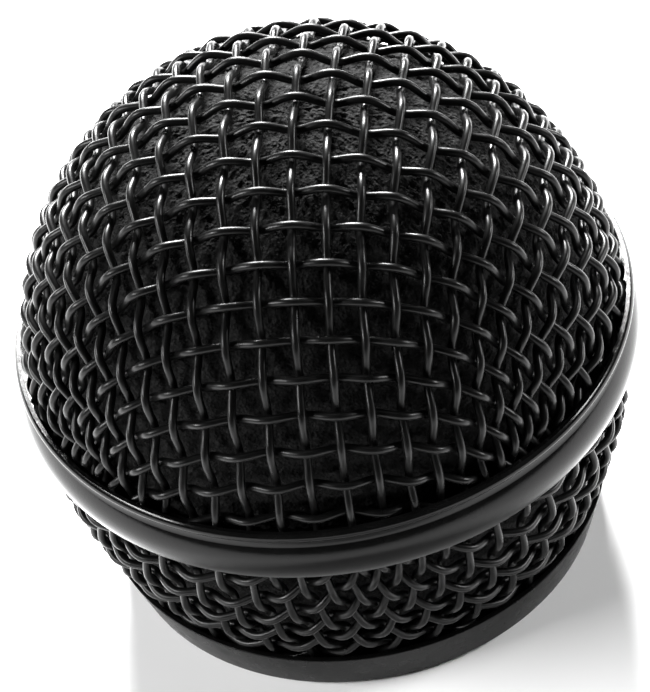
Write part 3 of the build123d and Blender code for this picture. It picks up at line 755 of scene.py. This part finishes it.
def drill_screw_holes(piece):
    """Radial screw holes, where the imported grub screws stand."""
    low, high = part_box("insert_screws")
    height, radius = (low.z + high.z) / 2, (high.z - low.z) / 2 + FIT
    points, faces = [], []
    sides = DRILL_SIDES
    for index in range(SCREW_COUNT):
        turn = pi / 2 + index * tau / SCREW_COUNT
        out = np.array((cos(turn), sin(turn), 0))
        beside = np.array((-sin(turn), cos(turn), 0))
        first = len(points)
        for distance in (NECK_RADIUS - DRILL_INSIDE, NECK_RADIUS + DRILL_OUTSIDE):
            for a in (tau * k / sides for k in range(sides)):
                up = np.array((0, 0, height + radius * sin(a)))
                points.append(out * distance + beside * radius * cos(a) + up)
        faces += grid_faces(2, sides, first)
        faces.append(tuple(first + k for k in reversed(range(sides))))
        faces.append(tuple(first + sides + k for k in range(sides)))
    tool = new_piece("drill", points, faces, TURNED_SHARP)
    cut = piece.modifiers.new("screw holes", "BOOLEAN")
    cut.operation = "DIFFERENCE"
    cut.object = tool
    cut.solver = "EXACT"
    graph = bpy.context.evaluated_depsgraph_get()
    drilled = bpy.data.meshes.new_from_object(piece.evaluated_get(graph))
    drilled.set_sharp_from_angle(angle=BASE_SHARP)
    piece.modifiers.clear()
    piece.data = drilled
    bpy.data.objects.remove(tool)


make_base()
turned_metal("cast alloy", (0.30, 0.30, 0.31), (0.46, 0.45, 0.44), 0.26, 0.42).put("threaded_base")

# ---------------------------------------------------------------- rubber mount and diaphragm
MOULDED_SHARP = radians(50)
MOUNT_SEGMENTS = 192
CUP_WALL = 1.3 * MM
SLEEVE_WALL = 0.5 * MM
SLEEVE_HEIGHT = 4.2 * MM
FLANGE_HEIGHT = 1.2 * MM
WEB = 0.6 * MM
WEB_STEPS = 8
WEB_ROOT = 0.05 * MM  # how far outside the sleeve the web starts below
MOUNT_EASE = 0.08 * MM

FILM_SEGMENTS = 384
FILM_THICKNESS = 0.12 * MM
CROWN = 1.6 * MM
CROWN_ROWS = 24
SURROUND_ROWS = 22
SURROUND_RISE = 0.57 * MM
RIM_WIDTH = 1.5 * MM
PLEATS, PLEAT_DEPTH, PLEAT_TWIST = 48, 0.05 * MM, 2.5


def make_rubber_mount():
    """Sleeve round the cartridge and flange on the cup, joined by a cone that flexes."""
    low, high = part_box("shock_mount")
    outer = high.x
    cup_inner = outer - CUP_WALL
    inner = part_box("cartridge_shell")[1].x + FIT
    sleeve = inner + SLEEVE_WALL
    flange_low = high.z - FLANGE_HEIGHT
    sleeve_high = low.z + SLEEVE_HEIGHT
    outline = [
        (inner, low.z),
        (sleeve, low.z),
        (sleeve, sleeve_high - WEB),
        *span((sleeve + WEB_ROOT, sleeve_high - WEB), (cup_inner, flange_low), WEB_STEPS),
        (cup_inner, flange_low),
        (outer, flange_low),
        (outer, high.z),
        (cup_inner, high.z),
        *span((cup_inner, flange_low + WEB), (sleeve, sleeve_high), WEB_STEPS),
        (sleeve, sleeve_high),
        (inner, sleeve_high),
    ]
    piece = lathe("rubber_mount", eased(outline, MOUNT_EASE, 2), MOUNT_SEGMENTS, MOULDED_SHARP)
    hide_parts("shock_mount")
    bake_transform(piece)


def make_film():
    """Domed film with a pleated surround, from its rim to the coil."""
    low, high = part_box("diaphragm")
    land = high.z - FILM_THICKNESS - CROWN
    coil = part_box("coil_winding")[1].x
    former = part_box("coil_former")[1].x
    rim_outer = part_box("diaphragm_ring")[1].x
    rim_inner = rim_outer - RIM_WIDTH
    ball = (former**2 + CROWN**2) / (2 * CROWN)
    crown_radii = np.linspace(0, former, CROWN_ROWS)
    middle = [(r, land + CROWN - ball + (ball**2 - r**2) ** 0.5) for r in crown_radii]
    across = np.linspace(coil, rim_inner, SURROUND_ROWS)
    t = (across - coil) / (rim_inner - coil)
    rise = land + (low.z - land) * t + 4 * t * (1 - t) * SURROUND_RISE
    surround = list(zip(across, rise))
    under = middle + surround + [(rim_outer, low.z)]
    over = [(r, h + FILM_THICKNESS) for r, h in reversed(under)]
    first, last = len(middle) - 1, len(middle) + len(surround) - 2

    def pleated(index, radii, heights, turns):
        place = index if index < len(under) - 1 else 2 * len(under) - 3 - index
        if not first <= place <= last:
            return radii, heights
        t = (place - first) / (last - first)
        return radii, heights + PLEAT_DEPTH * sin(pi * t) ** 2 * np.sin(turns * PLEATS + PLEAT_TWIST * t)

    piece = lathe("film", under + over, FILM_SEGMENTS, MOULDED_SHARP, shift=pleated)
    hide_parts("diaphragm")
    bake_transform(piece)


make_rubber_mount()
make_film()
rubber = moulded("mount rubber", grey(0.012), grey(0.024), 0.55, 0.75, grain=0.25 * MM, depth=0.01 * MM)
rubber.put("rubber_mount")
moulded("gasket rubber", grey(0.010), grey(0.020), 0.5, 0.7).put("grille_gasket")
film = Finish("film", Specular_IOR_Level=0.6)
film.colour(film.noise(2.0 * MM), (0.3, (0.42, 0.36, 0.22)), (0.7, (0.55, 0.48, 0.32)))
film.rough(film.noise(0.8 * MM), 0.12, 0.28)
film.bump(film.noise(0.5 * MM), 0.006 * MM)
film.put("film")

# ---------------------------------------------------------------- coil
COIL_WIRE = 0.1 * MM
COIL_SEGMENTS = 144
ROWS_PER_TURN = 6
COIL_RELIEF = 0.4 * COIL_WIRE
FIBRE_SHARP = radians(80)


def make_coil():
    """Enamelled wire wound side by side on the former."""
    low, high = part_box("coil_winding")
    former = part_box("coil_former")[1].x
    rows = int((high.z - low.z) / COIL_WIRE * ROWS_PER_TURN)
    side = span((high.x, low.z), (high.x, high.z), rows)
    outline = [(former, high.z), (former, low.z), *side, (high.x, high.z)]

    def wound(index, radii, heights, turns):
        if index < 2:
            return radii, heights
        ridge = np.abs(np.sin(pi * (heights / COIL_WIRE - turns / tau)))
        return radii - COIL_RELIEF * (1 - ridge), heights

    piece = lathe("wound_coil", outline, COIL_SEGMENTS, FIBRE_SHARP, shift=wound)
    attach(piece, "moving_coil")
    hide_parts("coil_winding")


make_coil()
copper = Finish("copper wire", Metallic=1.0, Coat_Weight=0.4, Coat_Roughness=0.2)
copper.colour(copper.noise(0.9 * MM), (0.3, (0.52, 0.20, 0.08)), (0.7, (0.72, 0.34, 0.16)))
copper.rough(copper.noise(0.3 * MM), 0.2, 0.38)
copper.bump(copper.noise(0.05 * MM), 0.003 * MM)
copper.put("wound_coil")

# ---------------------------------------------------------------- leads
LEAD_RADIUS = 0.35 * MM
LEAD_SIDES = 16
LEAD_POINTS = (
    (5.63, 0.0, 11.1),
    (9.83, 0.5, 11.1),
    (11.23, 3.9, 10.254),
    (9.53, 7.3, 9.126),
    (6.23, 8.9, 8.421),
    (3.83, 8.8, 8.28),
)


def make_lead(name, node, flip):
    """Insulated lead from its turret to its pad, on either side of the axis."""
    data = bpy.data.curves.new(name, "CURVE")
    data.dimensions = "3D"
    data.resolution_u = 24
    route = data.splines.new("NURBS")
    route.points.add(len(LEAD_POINTS) - 1)
    for point, (x, y, z) in zip(route.points, LEAD_POINTS):
        point.co = (flip * x * MM, flip * y * MM, z * MM, 1.0)
    route.order_u = 3
    route.use_endpoint_u = True
    carrier = bpy.data.objects.new(name + "_route", data)
    bpy.context.scene.collection.objects.link(carrier)
    graph = bpy.context.evaluated_depsgraph_get()
    line = bpy.data.meshes.new_from_object(carrier.evaluated_get(graph))
    centres = np.array([v.co for v in line.vertices])
    bpy.data.objects.remove(carrier)
    up = np.tile(np.array((0.0, 0.0, 1.0)), (len(centres), 1))
    piece = tubes(name, [(centres, up)], LEAD_RADIUS, LEAD_SIDES)
    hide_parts(node)
    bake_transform(piece)


make_lead("hot_wire", "lead_hot", 1)
make_lead("cold_wire", "lead_cold", -1)


def insulation(name, dark, light):
    made = Finish(name, Specular_IOR_Level=0.45)
    made.colour(made.noise(1.2 * MM), (0.3, dark), (0.7, light))
    made.rough(made.noise(0.4 * MM), 0.3, 0.48)
    made.bump(made.noise(0.2 * MM), 0.006 * MM)
    return made


insulation("red insulation", (0.30, 0.012, 0.010), (0.42, 0.022, 0.016)).put("hot_wire")
insulation("black insulation", grey(0.010), grey(0.022)).put("cold_wire")

# ---------------------------------------------------------------- cloths and felt
THREAD_PITCH = 0.36 * MM
CLOTH_SEGMENTS = 360
THREAD_SWING, THREAD_THICKNESS = 0.22, 0.4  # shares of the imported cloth's height
PORT_CLOTH_HOLE = 10.13 * MM

FELT_SEGMENTS = 200
FELT_SHARP = radians(85)
FELT_EDGE = 0.5 * MM
FELT_FACE_ROWS, FELT_SIDE_ROWS, FELT_CORNER_ROWS = 40, 16, 6
TUFT_SIZE = 0.9 * MM
TUFT_DEPTH = 0.22 * MM


def make_cloth_disc(name, node, hole, body):
    """Woven cloth, a disc or a ring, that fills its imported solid."""
    low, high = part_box(node)
    radius = high.x
    middle = (low.z + high.z) / 2
    swing = (high.z - low.z) * THREAD_SWING
    thickness = (high.z - low.z) * THREAD_THICKNESS
    rows = int((radius - hole) / (THREAD_PITCH / 4))
    radii = np.linspace(hole, radius, rows)
    top = [(r, middle + thickness / 2) for r in radii]
    bottom = [(r, middle - thickness / 2) for r in radii[::-1]]
    outline = top + bottom

    def woven(index, r, h, turns):
        x, y = r * np.cos(turns) / THREAD_PITCH, r * np.sin(turns) / THREAD_PITCH
        return r, h + swing * np.sin(pi * x) * np.sin(pi * y)

    piece = lathe(name, outline, CLOTH_SEGMENTS, FIBRE_SHARP, shift=woven)
    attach(piece, body)
    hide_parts(node)
    return piece


front_gauze = make_cloth_disc("front_gauze", "front_cloth", 0.0, "cartridge")
make_cloth_disc("port_gauze", "rear_port_cloth", PORT_CLOTH_HOLE, "cartridge")
gauze = Finish("gauze", Specular_IOR_Level=0.3, Sheen_Weight=0.3)
gauze_weave = gauze.combine(
    gauze.waves(THREAD_PITCH, direction="X"), gauze.waves(THREAD_PITCH, direction="Y")
)
gauze.colour(gauze_weave, (0.1, grey(0.008)), (0.6, grey(0.030)))
gauze.rough(gauze.noise(0.4 * MM), 0.6, 0.85)
gauze.bump(gauze_weave, 0.05 * MM)
gauze.bump(gauze.noise(0.1 * MM), 0.01 * MM)
gauze.put("front_gauze", "port_gauze")


def make_felt():
    """Wad of wool felt with a soft, uneven skin."""
    low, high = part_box("chamber_felt")
    radius, edge = high.x, FELT_EDGE
    rim = radius - edge
    bends = np.linspace(0, pi / 2, FELT_CORNER_ROWS)
    corner = [(rim + edge * sin(a), high.z - edge + edge * cos(a)) for a in bends]
    lower = [(r, low.z + high.z - h) for r, h in reversed(corner)]
    upper_face = [(r, high.z) for r in np.linspace(0, rim, FELT_FACE_ROWS)[:-1]]
    side = span(corner[-1], lower[0], FELT_SIDE_ROWS)[1:]
    lower_face = [(r, low.z) for r in np.linspace(rim, 0, FELT_FACE_ROWS)[1:]]
    outline = upper_face + corner + side + lower + lower_face

    def tuft(r, h, t):
        return 0.5 + 0.5 * noise.fractal(Vector((r * cos(t), r * sin(t), h)) / TUFT_SIZE, 1.0, 2.0, 4)

    def fuzzy(index, radii, heights, turns):
        rise = np.array([tuft(r, h, t) for r, h, t in zip(radii, heights, turns)])
        sink = TUFT_DEPTH * np.clip(rise, 0, 1)
        up = np.clip((heights - (low.z + high.z) / 2) / ((high.z - low.z) / 2), -1, 1)
        out = np.clip(radii / radius, 0, 1) ** 8
        return radii - sink * out, heights - sink * np.sign(up) * (np.abs(up) > 0.9)

    piece = lathe("felt_wad", outline, FELT_SEGMENTS, FELT_SHARP, shift=fuzzy)
    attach(piece, "cartridge")
    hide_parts("chamber_felt")


make_felt()
felt = Finish("felt", Sheen_Weight=0.5, Sheen_Roughness=0.5, Specular_IOR_Level=0.15)
felt_fibre = felt.noise(0.35 * MM, detail=9.0, roughness=0.75, distortion=0.8)
felt.colour(felt_fibre, (0.3, (0.10, 0.095, 0.085)), (0.7, (0.24, 0.23, 0.21)))
felt.rough(felt.noise(0.6 * MM), 0.85, 1.0)
felt.bump(felt_fibre, 0.08 * MM)
felt.put("felt_wad")

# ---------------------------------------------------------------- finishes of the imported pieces
moulded("carrier plastic", grey(0.016), grey(0.030), 0.42, 0.58).put("cartridge_carrier")
moulded("cap plastic", grey(0.012), grey(0.022), 0.40, 0.56).put(
    "resonator_cap", "cartridge_frame", "rear_chamber"
)
turned_metal("screw steel", (0.20, 0.20, 0.21), (0.34, 0.34, 0.35), 0.25, 0.4).put("insert_screws")
turned_metal("clamp alloy", (0.42, 0.42, 0.43), (0.58, 0.58, 0.58), 0.28, 0.42).put("mount_clamp_ring")
turned_metal("shell alloy", (0.36, 0.36, 0.37), (0.52, 0.52, 0.52), 0.26, 0.4).put("cartridge_shell")
turned_metal("ring brass", (0.50, 0.36, 0.14), (0.66, 0.50, 0.24), 0.24, 0.4).put("diaphragm_ring")
turned_metal("former alloy", (0.60, 0.60, 0.61), (0.75, 0.75, 0.76), 0.22, 0.35).put("coil_former")
turned_metal("soft iron", (0.20, 0.19, 0.18), (0.34, 0.32, 0.30), 0.3, 0.48).put(
    "pole_piece", "front_plate", "yoke_cup"
)
turned_metal("magnet plating", (0.50, 0.49, 0.46), (0.66, 0.65, 0.61), 0.18, 0.3).put("magnet")
plating = Finish("contact plating", Metallic=1.0)
plating.colour(plating.noise(2.4 * MM), (0.3, (0.66, 0.48, 0.17)), (0.7, (0.80, 0.61, 0.26)))
plating.rough(plating.noise(0.9 * MM), 0.20, 0.32)
plating.bump(plating.waves(0.10 * MM, "RINGS", "Z"), 0.0006 * MM)
plating.bump(plating.noise(0.5 * MM), 0.002 * MM)
plating.put("centre_contact", "inner_contact_ring", "outer_contact_ring")

solder = Finish("solder", Metallic=1.0)
solder.colour(solder.noise(0.7 * MM), (0.3, grey(0.42)), (0.7, grey(0.62)))
solder.rough(solder.noise(0.3 * MM), 0.22, 0.5)
solder.bump(solder.cells(0.35 * MM), 0.012 * MM)
solder.put("solder_pads", "terminals")

LAMINATE_PITCH = 0.42 * MM


def laminate(name, dark, light):
    """Glass-fibre board: the glass weave under a glossy skin."""
    made = Finish(name, Specular_IOR_Level=0.5, Coat_Weight=0.35, Coat_Roughness=0.12)
    weave = made.combine(
        made.waves(LAMINATE_PITCH, direction="X"), made.waves(LAMINATE_PITCH, direction="Y"), "ADD"
    )
    made.colour(weave, (0.2, dark), (1.0, light))
    made.rough(made.noise(0.7 * MM), 0.28, 0.46)
    made.bump(weave, 0.004 * MM)
    made.bump(made.noise(1.4 * MM), 0.01 * MM)
    return made


laminate("board laminate", (0.004, 0.028, 0.013), (0.009, 0.050, 0.024)).put("contact_board")
laminate("terminal laminate", (0.20, 0.11, 0.035), (0.32, 0.19, 0.07)).put("terminal_board")


# ---------------------------------------------------------------- floor and light
FLOOR_HALF = 3.0
FLOOR_GAP = 0.01 * MM
WORLD_STRENGTH = 0.025


def make_floor():
    half = FLOOR_HALF
    low = cad_low.z - FLOOR_GAP
    points = [(-half, -half, low), (half, -half, low), (half, half, low), (-half, half, low)]
    floor = new_piece("floor", points, [(0, 1, 2, 3)])
    finish = Finish("floor paper", Specular_IOR_Level=0.2)
    finish.colour(finish.noise(40 * MM), (0.3, grey(0.86)), (0.7, grey(0.90)))
    finish.rough(finish.noise(10 * MM), 0.75, 0.9)
    finish.bump(finish.noise(1.0 * MM), 0.01 * MM)
    finish.put("floor")


def soft_light(name, place, width, height, power):
    data = bpy.data.lights.new(name, "AREA")
    data.shape = "RECTANGLE"
    data.size, data.size_y = width, height
    data.energy = power
    lamp = bpy.data.objects.new(name, data)
    place = Vector(place)
    lamp.location = place
    lamp.rotation_mode = "QUATERNION"
    lamp.rotation_quaternion = (BALL_CENTRE - place).to_track_quat("-Z", "Y")
    bpy.context.scene.collection.objects.link(lamp)


make_floor()
soft_light("back softbox", (0.02, 0.48, 0.36), width=0.24, height=0.14, power=32.0)
soft_light("top softbox", (0.0, 0.30, 0.90), width=0.50, height=0.50, power=0.8)
soft_light("left softbox", (-0.46, -0.07, 0.27), width=0.30, height=0.05, power=4.2)
soft_light("right softbox", (0.47, 0.02, 0.24), width=0.20, height=0.05, power=2.6)

world = bpy.data.worlds.new("studio")
world.use_nodes = True
backdrop = world.node_tree.nodes["Background"]
backdrop.inputs["Color"].default_value = (1.0, 1.0, 1.0, 1.0)
backdrop.inputs["Strength"].default_value = WORLD_STRENGTH
bpy.context.scene.world = world
bpy.context.scene.view_settings.view_transform = "Standard"
